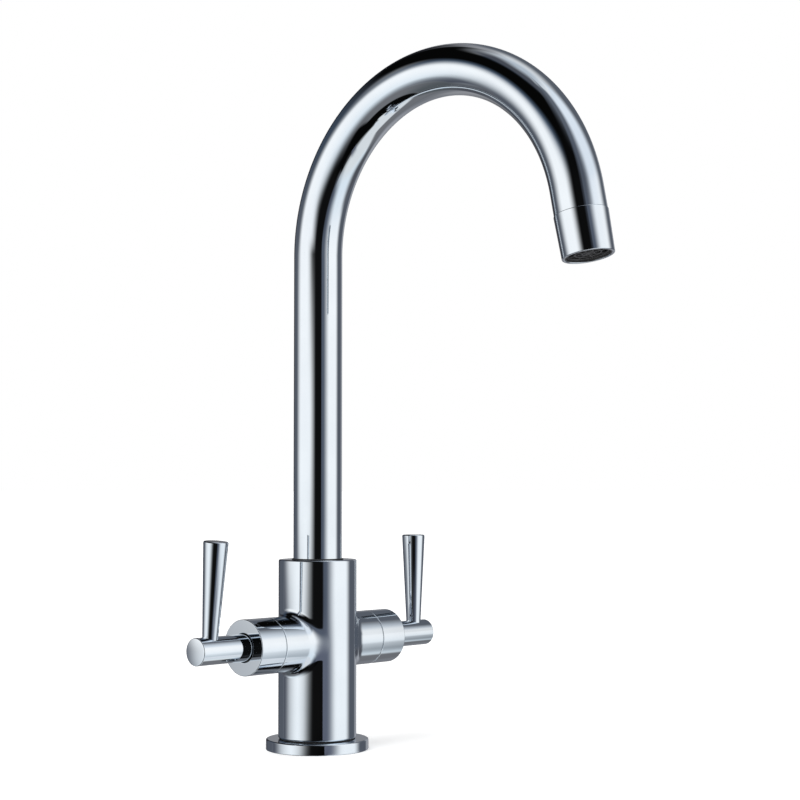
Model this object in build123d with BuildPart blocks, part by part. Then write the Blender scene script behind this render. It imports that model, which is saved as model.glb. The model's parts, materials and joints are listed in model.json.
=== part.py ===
# Kitchen tap: a twin-lever monobloc mixer with a swan-neck spout.
# Millimetres, z up. The origin is on the tap's axis in the deck plane, the spout points along -y,
# the hot valve is on the -x side and the cold valve on the +x side.
import os
from math import cos, radians, sin

from build123d import *

os.makedirs("parts", exist_ok=True)

# Fits: gaps between pieces that work together
running_gap = 0.08  # a turning piece in its bore, radial
joint_gap = 0.05  # a screwed or brazed piece in its socket, radial
ring_gap = 0.05  # a seal or ring in its groove
face_gap = 0.05  # faces that turn on each other
seam_gap = 0.15  # nozzle sleeve to tube end

# Base flange and gasket
flange_overhang = 7.0  # flange beyond the body
flange_h = 6.2
flange_round = 0.9  # upper edge
flange_heel_round = 0.45  # lower edge
gasket_inset = 3.2  # flange rim to gasket
gasket_w = 3.6
gasket_t = 2.4

# Mixer body
body_d = 45.0
body_round = 0.7
foot_step = 2.5  # body radius to foot radius
foot_recess = 0.6  # foot underside above the deck
valve_rise = 55.2  # flange top to valve axis
mixing_h = 13.5  # mixing chamber, floor to spout socket
chamber_web = 1.6  # inlet passage to mixing chamber
arm_blend = 2.4  # arm to body
seam_round = 0.3  # arm, shroud and sleeve edges at their seams

# Supply sockets and fixing socket in the foot
inlet_spacing = 19.0
inlet_d = 9.0  # tapping size of a fine M10 thread
inlet_depth = 14.0
waterway_d = 7.0
stud_forward = 11.5  # tap axis to fixing stud
stud_d = 6.8  # tapping size of an M8 thread
stud_depth = 16.0

# Valve headwork, from the seat outwards
seat_wall = 4.0  # inlet passage to valve seat
headwork_d = 18.6  # threaded barrel
nose_step = 1.0  # barrel radius to nose radius
nose_wall = 1.0
nose_land = 1.4  # disc stack to thread
thread_len = 17.5
seat_seal_w = 2.0
seat_seal_t = 2.5
seat_seal_proud = 0.5
disc_t = 2.5
disc_port_r = 5.6
disc_port_w = 5.2
disc_bridge_w = 3.8  # between a disc's two ports
lug_w = 3.0
window_w = 8.0
hex_h = 6.0
hex_collar_h = 1.4
hex_gap = 0.8  # hexagon corners to shroud bore
neck_len = 3.5
neck_wall = 2.2
housing_ring_d = 1.6

# Spindle
drive_t = 3.0
tang_w = 3.0
tang_h = 1.1
shaft_d = 10.0
shaft_ring_d = 1.1
shaft_ring_pitch = 5.0
clip_t = 0.9
clip_depth = 0.8
clip_w = 2.0
clip_mouth = 4.0
clip_land = 1.0
spline_d = 7.9
spline_teeth = 20
spline_cut_r = 0.35
spline_reach = 13.0  # beyond the shroud face

# Shroud round each headwork
spigot_wall = 4.1  # threaded end of the arm
spigot_len = 4.0
shroud_wall = 2.2
shroud_face_t = 3.0
shroud_round = 0.5
stem_gap = 0.5  # round the hub in the shroud face

# Handles
hub_d = 15.2
hub_round = 0.6
hub_end_gap = 0.4
hub_web = 7.0  # spindle socket to lever socket
lever_inset = 10.65  # lever axis to hub end
lever_h = 59.7  # lever tip above the valve axis
lever_tip_d = 13.9
lever_foot_d = 8.8
lever_round = 0.9
lever_sink = 4.0  # lever foot into the hub
lever_stud_d = 5.0
lever_stud_len = 6.0
lever_stud_gap = 0.5
hot_rest_turn = 4.7  # degrees from the closed stop, towards the spout side
cold_rest_turn = 0.0

# Socket screws
screw_d = 4.8
screw_recess = 0.6
screw_key = 2.5  # across flats
screw_key_depth = 1.8
hub_tip_d = 2.4

# Spout
tube_d = 28.0
tube_wall = 1.2
column_h = 175.4  # body top to arch
arch_r = 94.5  # at the tube's middle
arch_sweep = 168.4  # degrees
outlet_straight = 12.8
tube_recess = 4.1  # tube end below the body top
tube_gap = 0.25
washer_t = 1.0

# Spout foot, from its lower end up
foot_end_gap = 0.8
foot_end_land = 3.0
foot_land = 2.2
spigot_step = 0.4  # tube bore to swivel spigot
foot_wall = 2.0
foot_insert = 14.0
swivel_ring_w = 2.4
swivel_ring_depth = 1.6
lock_depth = 1.3
lock_tip_d = 3.0
lock_tip_gap = 0.25
bearing_w = 3.6
bearing_depth = 1.2
bearing_split = 2.0

# Nozzle and aerator, from the tube end down
nozzle_len = 23.1
sleeve_step = 0.3  # tube radius to sleeve radius at the seam
sleeve_taper = 0.55  # radius lost towards the mouth
sleeve_wall = 1.2
mouth_lip = 1.65
mouth_round = 0.5
ledge_h = 4.6
ferrule_insert = 10.0
ferrule_thread = 8.5
ferrule_wall = 2.6
aerator_seal_t = 2.0
aerator_wall = 1.0
aerator_recess = 1.3  # grid face inside the mouth
jet_plate_t = 1.6
jet_hole_d = 1.2
jet_holes = 16
jet_inset = 3.7  # plate rim to jets
screen_t = 0.5
screen_space = 1.0
screen_hole_d = 0.9
screen_pitch = 1.7
grid_t = 2.4
grid_rings = 3
grid_bar_w = 0.9
grid_spokes = 8

# Heights
body_r = body_d / 2
foot_r = body_r - foot_step
flange_r = body_r + flange_overhang
valve_z = flange_h + valve_rise
waterway_r = waterway_d / 2
mixing_z = valve_z + waterway_r + chamber_web
socket_z = mixing_z + mixing_h
foot_z = socket_z + foot_end_gap
lower_ring_z = foot_z + foot_end_land
upper_ring_z = lower_ring_z + swivel_ring_w + foot_land
lock_groove_w = lock_tip_d + 2 * lock_tip_gap
lock_groove_z = upper_ring_z + swivel_ring_w + foot_land
bearing_z = lock_groove_z + lock_groove_w + foot_land
recess_z = bearing_z + bearing_w + foot_land
body_top_z = recess_z + tube_recess
tube_z = recess_z + washer_t + face_gap
arch_z = body_top_z + column_h

# Radii of the spout and its socket
tube_r = tube_d / 2
tube_bore_r = tube_r - tube_wall
spigot_r = tube_bore_r - spigot_step
socket_r = spigot_r + running_gap
swivel_ring_r = spigot_r - swivel_ring_depth
spout_bore_r = swivel_ring_r - foot_wall
lock_groove_r = spigot_r - lock_depth
bearing_r = spigot_r - bearing_depth

# Stations along a valve axis, from the tap's axis outwards
inlet_x = inlet_spacing / 2
seat_s = inlet_x + waterway_r + seat_wall
nose_s = seat_s + seat_seal_proud
fixed_disc_s = seat_s + seat_seal_t
moving_disc_s = fixed_disc_s + disc_t + face_gap
drive_s = moving_disc_s + disc_t + face_gap
drive_end_s = drive_s + drive_t
shoulder_s = drive_end_s + face_gap
thread_s = drive_s + nose_land
spigot_end_s = thread_s + thread_len
arm_face_s = spigot_end_s - spigot_len
hex_end_s = spigot_end_s + hex_h
neck_end_s = hex_end_s + neck_len
clip_s = neck_end_s + face_gap
clip_end_s = clip_s + clip_t + 2 * ring_gap
shaft_end_s = clip_end_s + clip_land
shroud_face_s = shaft_end_s + shroud_face_t
hub_s = shaft_end_s + hub_end_gap
spindle_end_s = shroud_face_s + spline_reach
hub_bore_end_s = spindle_end_s + hub_end_gap
lever_foot_r = lever_foot_d / 2
lever_socket_r = lever_foot_r + joint_gap
lever_s = hub_bore_end_s + hub_web + lever_socket_r
hub_end_s = lever_s + lever_inset
hub_screw_s = shroud_face_s + spline_reach / 2
middle_thread_s = (thread_s + spigot_end_s) / 2
shaft_ring_stations = [middle_thread_s - shaft_ring_pitch / 2, middle_thread_s + shaft_ring_pitch / 2]

# Radii about a valve axis
headwork_r = headwork_d / 2
valve_bore_r = headwork_r + joint_gap
nose_r = headwork_r - nose_step
disc_bore_r = nose_r - nose_wall
disc_r = disc_bore_r - ring_gap
shaft_r = shaft_d / 2
shaft_bore_r = shaft_r + running_gap
shaft_groove_r = shaft_bore_r - shaft_ring_d - 2 * ring_gap
clip_groove_r = shaft_r - clip_depth
spline_r = spline_d / 2
spigot_end_r = valve_bore_r + spigot_wall
shroud_bore_r = spigot_end_r + joint_gap
arm_r = shroud_bore_r + shroud_wall
hex_r = shroud_bore_r - hex_gap
hub_r = hub_d / 2
lever_seat = hub_r - lever_sink
screw_r = screw_d / 2
screw_hole_r = screw_r + joint_gap
housing_recess = housing_ring_d + 2 * ring_gap

# The outlet's plane: at the tube's end, z pointing down the nozzle
outlet_dir = Vector(0, -sin(radians(arch_sweep)), cos(radians(arch_sweep)))
arch_end = Vector(0, arch_r * (cos(radians(arch_sweep)) - 1), arch_z + arch_r * sin(radians(arch_sweep)))
outlet = Plane(origin=arch_end + outlet_dir * outlet_straight, x_dir=(1, 0, 0), z_dir=outlet_dir)

# The locking screw's plane: on the tap's axis, z pointing out of the back
lock_plane = Plane(origin=(0, 0, lock_groove_z + lock_groove_w / 2), x_dir=(1, 0, 0), z_dir=(0, 1, 0))

match = 1e-4  # how near an edge is to the circle that it is found by
sides = {"hot": -1, "cold": 1}
rest_turns = {"hot": hot_rest_turn, "cold": cold_rest_turn}


def valve_plane(name, turned=False):
    # z runs outwards along the valve axis, and x up, or towards the lever's tip for what turns
    turn = radians(rest_turns[name]) if turned else 0.0
    return Plane(origin=(0, 0, valve_z), x_dir=(0, -sin(turn), cos(turn)), z_dir=(sides[name], 0, 0))


def cross_plane(plane, station, direction):
    # z leaves the valve axis at a station, towards the lever's tip or away from it
    return Plane(
        origin=plane.origin + plane.z_dir * station,
        x_dir=plane.z_dir,
        z_dir=plane.x_dir * direction,
    )


def lathe(plane, outline, mode=Mode.ADD):
    # Turns an outline of (radius, station) points about the plane's z axis
    axial = Plane(origin=plane.origin, x_dir=plane.x_dir, z_dir=-plane.y_dir)
    with BuildSketch(axial) as profile:
        with BuildLine():
            Polyline(*outline, close=True)
        make_face()
    revolve(profile.sketch, axis=Axis(plane.origin, plane.z_dir), mode=mode)


def ring(plane, inner_r, outer_r, start, end, mode=Mode.ADD):
    lathe(plane, [(inner_r, start), (outer_r, start), (outer_r, end), (inner_r, end)], mode)


def rod(plane, radius, start, end, mode=Mode.ADD):
    ring(plane, 0, radius, start, end, mode)


def bar(plane, length, width, start, end, mode=Mode.ADD, at=(0, 0)):
    # A block along the plane's z axis, length along its x axis
    with BuildSketch(plane.offset(start)) as section:
        with Locations(at):
            Rectangle(length, width)
    extrude(section.sketch, amount=end - start, mode=mode)


def rims(part, plane, radius, station):
    # The circular edges of a part at a radius and station on a plane's axis
    centre = plane.origin + plane.z_dir * station
    circles = part.edges().filter_by(GeomType.CIRCLE)
    same_size = circles.filter_by(lambda edge: abs(edge.radius - radius) < match)
    return same_size.filter_by(lambda edge: (edge.arc_center - centre).length < match)


def socket_screw(plane, start, end, tip_r, tip_start):
    # A grub screw along the plane's z axis, its hexagon socket at the outer end
    rod(plane, screw_r, start, end)
    rod(plane, tip_r, tip_start, start)
    with BuildSketch(plane.offset(end - screw_key_depth)) as key:
        RegularPolygon(screw_key / 2, 6, major_radius=False)
    extrude(key.sketch, amount=screw_key_depth, mode=Mode.SUBTRACT)


def save(part, name):
    part.label = name
    export_step(part, f"parts/{name}.step")


# Mixer body: barrel, foot and two arms, with the valve chambers, waterways and spout socket inside
with BuildPart() as mixer_body:
    rod(Plane.XY, body_r, flange_h, body_top_z)
    fillet(rims(mixer_body, Plane.XY, body_r, flange_h), body_round)
    fillet(rims(mixer_body, Plane.XY, body_r, body_top_z), body_round)
    rod(valve_plane("cold"), arm_r, -arm_face_s, arm_face_s)
    fillet(mixer_body.edges().filter_by(GeomType.BSPLINE), arm_blend)
    rod(Plane.XY, foot_r, foot_recess, flange_h)
    for name in sides:
        plane = valve_plane(name)
        fillet(rims(mixer_body, plane, arm_r, arm_face_s), seam_round)
        rod(plane, spigot_end_r, arm_face_s, spigot_end_s)
        rod(plane, valve_bore_r, seat_s, spigot_end_s, Mode.SUBTRACT)
        rod(plane, valve_bore_r + housing_recess, spigot_end_s - housing_recess, spigot_end_s, Mode.SUBTRACT)
        rod(plane, waterway_r, inlet_x, seat_s, Mode.SUBTRACT)
        inlet = Plane.XY.shift_origin((sides[name] * inlet_x, 0, 0))
        rod(inlet, inlet_d / 2, foot_recess, foot_recess + inlet_depth, Mode.SUBTRACT)
        rod(inlet, waterway_r, foot_recess + inlet_depth, valve_z + waterway_r, Mode.SUBTRACT)
        outflow = plane.shift_origin((0, 0, mixing_z + waterway_r))
        rod(outflow, waterway_r, 0, thread_s, Mode.SUBTRACT)
    rod(Plane.XY, spout_bore_r, mixing_z, socket_z, Mode.SUBTRACT)
    rod(Plane.XY, socket_r, socket_z, recess_z, Mode.SUBTRACT)
    rod(Plane.XY, tube_r + tube_gap, recess_z, body_top_z, Mode.SUBTRACT)
    stud = Plane.XY.shift_origin((0, -stud_forward, 0))
    rod(stud, stud_d / 2, foot_recess, foot_recess + stud_depth, Mode.SUBTRACT)
    rod(lock_plane, screw_hole_r, 0, body_r, Mode.SUBTRACT)
save(mixer_body.part, "mixer_body")

# Base flange: a ring that the body's shoulder clamps to the deck, grooved below for the gasket
gasket_outer_r = flange_r - gasket_inset
gasket_inner_r = gasket_outer_r - gasket_w
with BuildPart() as base_flange:
    ring(Plane.XY, foot_r + joint_gap, flange_r, 0, flange_h)
    fillet(rims(base_flange, Plane.XY, flange_r, flange_h), flange_round)
    fillet(rims(base_flange, Plane.XY, flange_r, 0), flange_heel_round)
    ring(Plane.XY, gasket_inner_r, gasket_outer_r, 0, gasket_t, Mode.SUBTRACT)
save(base_flange.part, "base_flange")

with BuildPart() as base_gasket:
    ring(Plane.XY, gasket_inner_r + ring_gap, gasket_outer_r - ring_gap, 0, gasket_t)
save(base_gasket.part, "base_gasket")

# Locking screw at the back: its tip runs in a groove of the spout foot, so the spout turns but can't lift out
with BuildPart() as spout_locking_screw:
    tip_start = lock_groove_r + lock_tip_gap
    socket_screw(lock_plane, socket_r + lock_tip_gap, body_r - screw_recess, lock_tip_d / 2, tip_start)
save(spout_locking_screw.part, "spout_locking_screw")

with BuildPart() as spout_glide_washer:
    ring(Plane.XY, socket_r + ring_gap, tube_r, recess_z, recess_z + washer_t)
save(spout_glide_washer.part, "spout_glide_washer")

# Spout tube: a straight column, the arch and a short straight end
with BuildPart() as spout_tube:
    with BuildLine(Plane.YZ) as path:
        column = Line((0, tube_z), (0, arch_z))
        arch = JernArc(start=column @ 1, tangent=column % 1, radius=arch_r, arc_size=arch_sweep)
        PolarLine(start=arch @ 1, length=outlet_straight, direction=arch % 1)
    with BuildSketch(Plane.XY.offset(tube_z)):
        Circle(tube_r)
        Circle(tube_bore_r, mode=Mode.SUBTRACT)
    sweep(path=path.wire())
save(spout_tube.part, "spout_tube")

# Spout foot: brazed into the tube, grooved for the swivel rings, the locking screw and the bearing ring
with BuildPart() as spout_foot:
    ring(Plane.XY, spout_bore_r, spigot_r, foot_z, tube_z)
    ring(Plane.XY, spout_bore_r, tube_bore_r - joint_gap, tube_z, tube_z + foot_insert)
    for groove_z in (lower_ring_z, upper_ring_z):
        ring(Plane.XY, swivel_ring_r, spigot_r, groove_z, groove_z + swivel_ring_w, Mode.SUBTRACT)
    ring(Plane.XY, lock_groove_r, spigot_r, lock_groove_z, lock_groove_z + lock_groove_w, Mode.SUBTRACT)
    ring(Plane.XY, bearing_r, spigot_r, bearing_z, bearing_z + bearing_w, Mode.SUBTRACT)
save(spout_foot.part, "spout_foot")

with BuildPart() as spout_o_rings:
    section_r = (socket_r - swivel_ring_r) / 2 - ring_gap
    middle_r = (socket_r + swivel_ring_r) / 2
    ring_zs = [groove_z + swivel_ring_w / 2 for groove_z in (lower_ring_z, upper_ring_z)]
    with Locations(*[(0, 0, ring_z) for ring_z in ring_zs]):
        Torus(middle_r, section_r)
save(spout_o_rings.part, "spout_o_rings")

with BuildPart() as spout_bearing_ring:
    outer_r = (spigot_r + socket_r) / 2
    ring(Plane.XY, bearing_r + ring_gap, outer_r, bearing_z + ring_gap, bearing_z + bearing_w - ring_gap)
    split_at = (0, -(bearing_r + outer_r) / 2)
    bar(Plane.XY, bearing_split, 2 * bearing_depth, bearing_z, bearing_z + bearing_w, Mode.SUBTRACT, split_at)
save(spout_bearing_ring.part, "spout_bearing_ring")

# Nozzle: a ferrule brazed into the tube carries the screwed sleeve, which holds the aerator on its ledge
sleeve_top_r = tube_r + sleeve_step
mouth_r = sleeve_top_r - sleeve_taper
mouth_bore_r = mouth_r - mouth_lip
sleeve_bore_r = sleeve_top_r - sleeve_wall
ledge_s = nozzle_len - ledge_h
ferrule_r = tube_bore_r - joint_gap
ferrule_bore_r = ferrule_r - ferrule_wall
with BuildPart() as outlet_ferrule:
    ring(outlet, ferrule_bore_r, ferrule_r, -ferrule_insert, 0)
    ring(outlet, ferrule_bore_r, sleeve_bore_r - joint_gap, 0, ferrule_thread)
save(outlet_ferrule.part, "outlet_ferrule")

with BuildPart() as nozzle_sleeve:
    outline = [(0, seam_gap), (sleeve_top_r, seam_gap), (mouth_r, nozzle_len), (0, nozzle_len)]
    lathe(outlet, outline)
    fillet(rims(nozzle_sleeve, outlet, sleeve_top_r, seam_gap), seam_round)
    fillet(rims(nozzle_sleeve, outlet, mouth_r, nozzle_len), mouth_round)
    rod(outlet, sleeve_bore_r, seam_gap, ledge_s, Mode.SUBTRACT)
    rod(outlet, mouth_bore_r, ledge_s, nozzle_len, Mode.SUBTRACT)
    fillet(rims(nozzle_sleeve, outlet, mouth_bore_r, nozzle_len), mouth_round)
save(nozzle_sleeve.part, "nozzle_sleeve")

aerator_s = ferrule_thread + aerator_seal_t
aerator_end_s = nozzle_len - aerator_recess
aerator_r = sleeve_bore_r - ring_gap
aerator_bore_r = mouth_bore_r - ring_gap - aerator_wall
insert_r = aerator_bore_r - ring_gap
with BuildPart() as aerator_seal:
    ring(outlet, ferrule_bore_r, aerator_r, ferrule_thread, aerator_s)
save(aerator_seal.part, "aerator_seal")

with BuildPart() as aerator_housing:
    ring(outlet, aerator_bore_r, aerator_r, aerator_s, ledge_s)
    ring(outlet, aerator_bore_r, mouth_bore_r - ring_gap, ledge_s, aerator_end_s)
save(aerator_housing.part, "aerator_housing")

with BuildPart() as aerator_jet_plate:
    with BuildSketch(outlet.offset(aerator_s)):
        Circle(insert_r)
        with PolarLocations(insert_r - jet_inset, jet_holes):
            Circle(jet_hole_d / 2, mode=Mode.SUBTRACT)
    extrude(amount=jet_plate_t)
save(aerator_jet_plate.part, "aerator_jet_plate")

screen_s = aerator_s + jet_plate_t + screen_space
with BuildPart() as aerator_screens:
    for start in (screen_s, screen_s + screen_t + screen_space):
        with BuildSketch(outlet.offset(start)):
            Circle(insert_r)
            for row in range(1, int(insert_r / screen_pitch)):
                with PolarLocations(row * screen_pitch, 6 * row):
                    Circle(screen_hole_d / 2, mode=Mode.SUBTRACT)
        extrude(amount=screen_t)
save(aerator_screens.part, "aerator_screens")

with BuildPart() as aerator_grid:
    with BuildSketch(outlet.offset(aerator_end_s - grid_t)):
        for row in range(grid_rings, 0, -1):
            row_r = insert_r * row / grid_rings
            Circle(row_r)
            Circle(row_r - grid_bar_w, mode=Mode.SUBTRACT)
        with PolarLocations(insert_r / 2, grid_spokes):
            Rectangle(insert_r, grid_bar_w)
        Circle(insert_r, mode=Mode.INTERSECT)
    extrude(amount=grid_t)
save(aerator_grid.part, "aerator_grid")


def make_shroud(name):
    plane = valve_plane(name)
    with BuildPart() as shroud:
        rod(plane, arm_r, arm_face_s, shroud_face_s)
        fillet(rims(shroud, plane, arm_r, arm_face_s), seam_round)
        fillet(rims(shroud, plane, arm_r, shroud_face_s), shroud_round)
        rod(plane, shroud_bore_r, arm_face_s, shaft_end_s, Mode.SUBTRACT)
        rod(plane, hub_r + stem_gap, shaft_end_s, shroud_face_s, Mode.SUBTRACT)
        chamfer(rims(shroud, plane, hub_r + stem_gap, shroud_face_s), seam_round)
    save(shroud.part, f"{name}_shroud")


def make_valve_housing(name):
    # Threaded barrel, windowed nose for the discs, hexagon on a collar and a neck for the spindle
    plane = valve_plane(name)
    with BuildPart() as valve_housing:
        rod(plane, nose_r, nose_s, thread_s)
        rod(plane, headwork_r, thread_s, spigot_end_s)
        rod(plane, hex_r, spigot_end_s, spigot_end_s + hex_collar_h)
        with BuildSketch(plane.offset(spigot_end_s + hex_collar_h)):
            RegularPolygon(hex_r, 6)
        extrude(amount=hex_h - hex_collar_h)
        rod(plane, shaft_bore_r + neck_wall, hex_end_s, neck_end_s)
        rod(plane, disc_bore_r, nose_s, shoulder_s, Mode.SUBTRACT)
        rod(plane, shaft_bore_r, shoulder_s, neck_end_s, Mode.SUBTRACT)
        bar(plane, window_w, 2 * headwork_r, moving_disc_s, drive_s, Mode.SUBTRACT)
        bar(plane, 2 * headwork_r, lug_w + 2 * ring_gap, nose_s, fixed_disc_s + disc_t, Mode.SUBTRACT)
    save(valve_housing.part, f"{name}_valve_housing")


def make_valve_o_ring(name):
    with BuildPart(valve_plane(name).offset(spigot_end_s - housing_recess / 2)) as valve_o_ring:
        Torus(valve_bore_r + housing_recess / 2, housing_ring_d / 2)
    save(valve_o_ring.part, f"{name}_valve_o_ring")


def make_seat_seal(name):
    with BuildPart() as seat_seal:
        ring(valve_plane(name), disc_r - seat_seal_w, disc_r, seat_s, fixed_disc_s)
    save(seat_seal.part, f"{name}_seat_seal")


def make_fixed_disc(name):
    # Ceramic disc held by two lugs in the nose, with a port above and below its middle
    plane = valve_plane(name)
    with BuildPart() as fixed_disc:
        rod(plane, disc_r, fixed_disc_s, fixed_disc_s + disc_t)
        bar(plane, 2 * nose_r, lug_w, fixed_disc_s, fixed_disc_s + disc_t)
        with BuildSketch(plane.offset(fixed_disc_s)):
            Circle(disc_port_r)
            Rectangle(2 * disc_port_r, disc_port_w, mode=Mode.INTERSECT)
            Rectangle(disc_bridge_w, disc_port_w, mode=Mode.SUBTRACT)
        extrude(amount=disc_t, mode=Mode.SUBTRACT)
    save(fixed_disc.part, f"{name}_fixed_disc")


def make_moving_disc(name):
    # Ceramic disc that the spindle turns: side notches pass water once they reach the fixed ports
    plane = valve_plane(name, turned=True)
    with BuildPart() as moving_disc:
        rod(plane, disc_r, moving_disc_s, moving_disc_s + disc_t)
        with BuildSketch(plane.offset(moving_disc_s)):
            Rectangle(disc_port_w, 2 * disc_r)
            Rectangle(disc_port_w, disc_bridge_w, mode=Mode.SUBTRACT)
        extrude(amount=disc_t, mode=Mode.SUBTRACT)
        slot_s = moving_disc_s + disc_t - tang_h
        bar(plane, 2 * disc_r, tang_w + 2 * ring_gap, slot_s, moving_disc_s + disc_t, Mode.SUBTRACT)
    save(moving_disc.part, f"{name}_moving_disc")


def make_spindle(name):
    plane = valve_plane(name, turned=True)
    with BuildPart() as spindle:
        rod(plane, disc_r, drive_s, drive_end_s)
        bar(plane, 2 * disc_port_r, tang_w, drive_s - tang_h, drive_s)
        rod(plane, shaft_r, drive_end_s, shaft_end_s)
        for ring_s in shaft_ring_stations:
            reach = shaft_ring_d / 2 + ring_gap
            ring(plane, shaft_groove_r, shaft_r, ring_s - reach, ring_s + reach, Mode.SUBTRACT)
        ring(plane, clip_groove_r, shaft_r, clip_s, clip_end_s, Mode.SUBTRACT)
        rod(plane, spline_r, shaft_end_s, spindle_end_s)
        with BuildSketch(plane.offset(shaft_end_s)):
            with PolarLocations(spline_r, spline_teeth):
                Circle(spline_cut_r)
        extrude(amount=spindle_end_s - shaft_end_s, mode=Mode.SUBTRACT)
    save(spindle.part, f"{name}_spindle")


def make_spindle_o_rings(name):
    with BuildPart(valve_plane(name, turned=True)) as spindle_o_rings:
        with Locations(*[(0, 0, ring_s) for ring_s in shaft_ring_stations]):
            Torus((shaft_groove_r + shaft_bore_r) / 2, shaft_ring_d / 2)
    save(spindle_o_rings.part, f"{name}_spindle_o_rings")


def make_spindle_clip(name):
    plane = valve_plane(name, turned=True)
    start = clip_s + ring_gap
    with BuildPart() as spindle_clip:
        ring(plane, clip_groove_r + ring_gap, clip_groove_r + clip_w, start, start + clip_t)
        bar(plane, 2 * clip_w, clip_mouth, start, start + clip_t, Mode.SUBTRACT, (clip_groove_r + clip_w, 0))
    save(spindle_clip.part, f"{name}_spindle_clip")


def make_handle_hub(name):
    # Stem bored for the splined spindle, cross-drilled for the lever above and the screw below
    plane = valve_plane(name, turned=True)
    with BuildPart() as handle_hub:
        rod(plane, hub_r, hub_s, hub_end_s)
        fillet(rims(handle_hub, plane, hub_r, hub_end_s), hub_round)
        rod(plane, spline_r + joint_gap, hub_s, hub_bore_end_s, Mode.SUBTRACT)
        lever_axis = cross_plane(plane, lever_s, 1)
        stud_end = lever_seat - lever_stud_len - lever_stud_gap
        rod(lever_axis, lever_socket_r, lever_seat, hub_r, Mode.SUBTRACT)
        rod(lever_axis, lever_stud_d / 2 + joint_gap, stud_end, lever_seat, Mode.SUBTRACT)
        rod(cross_plane(plane, hub_screw_s, -1), screw_hole_r, 0, hub_r, Mode.SUBTRACT)
    save(handle_hub.part, f"{name}_handle_hub")


def make_hub_screw(name):
    plane = cross_plane(valve_plane(name, turned=True), hub_screw_s, -1)
    seat = spline_r + joint_gap
    with BuildPart() as hub_screw:
        socket_screw(plane, seat + joint_gap, hub_r - screw_recess, hub_tip_d / 2, seat)
    save(hub_screw.part, f"{name}_hub_screw")


def make_lever(name):
    # Tapered rod, wide end up, screwed into the hub by its stud
    lever_axis = cross_plane(valve_plane(name, turned=True), lever_s, 1)
    stud_r = lever_stud_d / 2
    outline = [
        (0, lever_seat - lever_stud_len),
        (stud_r, lever_seat - lever_stud_len),
        (stud_r, lever_seat),
        (lever_foot_r, lever_seat),
        (lever_foot_r, hub_r),
        (lever_tip_d / 2, lever_h),
        (0, lever_h),
    ]
    with BuildPart() as lever:
        lathe(lever_axis, outline)
        fillet(rims(lever, lever_axis, lever_tip_d / 2, lever_h), lever_round)
    save(lever.part, f"{name}_lever")


for name in sides:
    make_shroud(name)
    make_valve_housing(name)
    make_valve_o_ring(name)
    make_seat_seal(name)
    make_fixed_disc(name)
    make_moving_disc(name)
    make_spindle(name)
    make_spindle_o_rings(name)
    make_spindle_clip(name)
    make_handle_hub(name)
    make_hub_screw(name)
    make_lever(name)
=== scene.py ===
import json
import math

import bmesh
import bpy
from mathutils import Matrix, Vector


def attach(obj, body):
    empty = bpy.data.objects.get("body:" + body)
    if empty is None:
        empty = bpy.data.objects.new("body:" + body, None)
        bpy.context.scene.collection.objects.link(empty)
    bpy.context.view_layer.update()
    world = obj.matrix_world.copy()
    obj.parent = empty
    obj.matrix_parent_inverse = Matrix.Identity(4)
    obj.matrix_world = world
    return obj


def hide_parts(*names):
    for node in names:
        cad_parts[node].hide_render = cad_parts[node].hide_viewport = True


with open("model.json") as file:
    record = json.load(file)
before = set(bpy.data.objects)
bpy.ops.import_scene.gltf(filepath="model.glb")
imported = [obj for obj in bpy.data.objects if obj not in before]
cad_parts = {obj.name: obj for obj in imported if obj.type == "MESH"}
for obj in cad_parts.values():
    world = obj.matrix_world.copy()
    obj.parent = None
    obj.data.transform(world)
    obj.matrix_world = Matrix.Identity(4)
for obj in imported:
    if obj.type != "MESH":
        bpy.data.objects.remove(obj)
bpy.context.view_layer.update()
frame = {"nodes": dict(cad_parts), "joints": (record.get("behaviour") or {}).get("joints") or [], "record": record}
scene = bpy.context.scene
joints = {joint["name"]: joint for joint in frame["joints"]}
mm = 0.001  # sizes below are millimetres times this

valves = {"hot": -1, "cold": 1}  # which way each valve points along x
valveZ = joints["cold_lever_turn"]["pos_m"][2]
leverX = joints["cold_lever_turn"]["pos_m"][0]
restTurn = {name: math.radians(-joints[f"{name}_lever_turn"]["range_deg"][0]) for name in valves}
print("frame loaded:", len(frame["nodes"]), "nodes")


# Node helpers

def addNode(tree, kind, **values):
    node = tree.nodes.new(kind)
    for key, value in values.items():
        setattr(node, key, value)
    return node


def wire(tree, start, output, end, entry):
    tree.links.new(start.outputs[output], end.inputs[entry])


def newGroup(name, entries, exits):
    group = bpy.data.node_groups.new(name, "ShaderNodeTree")
    for label, kind, value in entries:
        socket = group.interface.new_socket(label, in_out="INPUT", socket_type=kind)
        if value is not None:
            socket.default_value = value
    for label in exits:
        group.interface.new_socket(label, in_out="OUTPUT", socket_type="NodeSocketFloat")
    return group, addNode(group, "NodeGroupInput"), addNode(group, "NodeGroupOutput")


polish = {
    "patchDetail": 5.0, "patchRoughness": 0.62, "patchLow": 0.36, "patchHigh": 0.68,
    "lineDetail": 3.0, "lineStretch": (1.0, 1.0, 0.06),
}


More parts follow.
